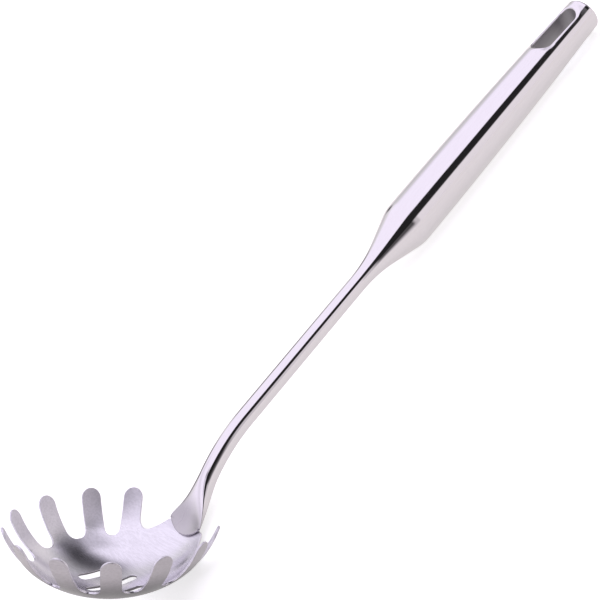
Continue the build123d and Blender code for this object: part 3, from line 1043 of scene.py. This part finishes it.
def steel(name, colour, grain_size, stretch, roughness, shade_spread_share, relief, fade=None):
    """Stainless steel whose fine grain varies its colour, its roughness and a slight relief."""
    material = bpy.data.materials.new(name)
    tree = node_tree(material)
    place = add_node(tree, "ShaderNodeTexCoord").outputs["Object"]
    scale = [1 / length for length in stretch]
    squeezed = add_node(tree, "ShaderNodeMapping", Vector=place, Scale=scale).outputs[0]
    grain = add_node(
        tree, "ShaderNodeTexNoise", Vector=squeezed, Scale=1 / grain_size, Detail=4.0, Roughness=0.6
    )
    cloud = add_node(tree, "ShaderNodeTexNoise", Vector=place, Scale=1 / cloud_size, Detail=2.0)
    shade = varied(tree, grain, 1, shade_spread_share)
    rough = varied(tree, cloud, roughness, roughness_spread_share)
    if fade:
        way, start, end, far_colour_share, far_roughness = fade
        dot = add_node(tree, "ShaderNodeVectorMath", operation="DOT_PRODUCT", Vector=place)
        dot.inputs[1].default_value = way
        along = dot.outputs["Value"]
        shade = product(tree, shade, graded(tree, along, start, end, 1, far_colour_share))
        rough = product(tree, rough, graded(tree, along, start, end, 1, far_roughness / roughness))
    tint = add_node(
        tree, "ShaderNodeMixRGB", blend_type="MULTIPLY", Fac=1.0, Color1=(*colour, 1), Color2=shade
    )
    bump = add_node(
        tree, "ShaderNodeBump", Strength=relief, Distance=grain_depth, Height=grain.outputs["Fac"]
    )
    shader = add_node(
        tree, "ShaderNodeBsdfPrincipled", Metallic=1.0,
        Base_Color=tint.outputs[0], Roughness=rough, Normal=bump.outputs[0],
    )
    add_node(tree, "ShaderNodeOutputMaterial", Surface=shader.outputs[0])
    return material


def polished_steel():
    """Mirror polish of the grip, its welds and its end cap."""
    return steel("polished_steel", bright, fine_grain, along_handle, **polish)


def shank_steel_with_painted_shade():
    """The same polish for the shank, duller towards the end of its pad, and greyer there with painted
    shade.
    """
    return steel("shank_steel_with_painted_shade", bright, fine_grain, along_handle, **polish, fade=matt_pad_with_painted_shade)


def satin_steel():
    """Brushed inside of the bowl, more matt up the tines, and paler there with painted light."""
    return steel(
        "satin_steel", (0.70, 0.68, 0.73), brushed_grain, across_bowl,
        roughness=0.20, shade_spread_share=0.06, relief=0.25, fade=matt_tines_with_painted_light,
    )


def painted_shade_satin_steel():
    """Brushed outside of the bowl, in a darker colour that is painted shade, and darker still towards its
    foot with more painted shade.
    """
    return steel(
        "painted_shade_satin_steel", (0.48, 0.455, 0.49), brushed_grain, across_bowl,
        roughness=0.33, shade_spread_share=0.07, relief=0.35, fade=shaded_foot,
    )


def unpolished_shaded_steel():
    """Unpolished metal inside the hanging slot, its darker colour painted shade."""
    return steel(
        "unpolished_shaded_steel", (0.47, 0.455, 0.475), brushed_grain, along_handle,
        roughness=0.6, shade_spread_share=0.05, relief=0.2,
    )


def add_bowl(satin, painted_shade_satin):
    """The bowl, with its outside and the cut faces of its drain slots in the darker steel, whose darkness
    is painted shade.
    """
    bowl = add_piece("satin_bowl", *bowl_mesh(), [satin, painted_shade_satin], "satin_steel", "bowl")
    for face in bowl.data.polygons:
        spot = face.center - rim_origin * metres
        slant = face.normal.dot(spot.normalized())
        at_drains = spot.cross(rim_z).length < drain_zone_radius * metres
        if slant > outside_slant or (at_drains and slant > -outside_slant):
            face.material_index = 1


def add_shank(shank_steel):
    """The shank with its pad."""
    add_piece("forged_shank", *shank_mesh(), [shank_steel], "polished_steel", "shank")


def add_grip(polished):
    """Both halves of the hollow grip."""
    add_piece("upper_grip_half", *grip_mesh(1), [polished], "polished_steel", "grip_front_shell")
    add_piece("lower_grip_half", *grip_mesh(-1), [polished], "polished_steel", "grip_back_shell")


def add_liner(polished, unpolished_shaded):
    """The hanging slot's liner, polished on its lips and unpolished and darkened by painted shade on its
    walls, which are tall faces.
    """
    liner = add_piece("slot_liner", *liner_mesh(), [polished, unpolished_shaded], "polished_steel", "hang_slot_liner")
    for face in liner.data.polygons:
        heights = [liner.data.vertices[corner].co.z for corner in face.vertices]
        if max(heights) - min(heights) > liner_wall_height * metres:
            face.material_index = 1


def add_cap(polished):
    """The domed end cap."""
    add_piece("domed_end_cap", *cap_mesh(), [polished], "polished_steel", "end_cap")


def add_welds(polished):
    """The weld rings at both ends of the grip, ground flush and polished over."""
    neck = weld_mesh(-mouth_length, shank_radius)
    add_piece("ground_neck_weld", *neck, [polished], "weld_metal", "neck_weld")
    cap = weld_mesh(grip_end, grip_end_radius)
    add_piece("ground_cap_weld", *cap, [polished], "weld_metal", "cap_weld")


polished = polished_steel()
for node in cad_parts.values():
    node.data.materials.clear()
    node.data.materials.append(polished)

add_bowl(satin_steel(), painted_shade_satin_steel())
add_shank(shank_steel_with_painted_shade())
add_grip(polished)
add_liner(polished, unpolished_shaded_steel())
add_cap(polished)
add_welds(polished)
add_camera()
add_world()
add_floor()

view = bpy.context.scene.view_settings
view.view_transform = "Standard"
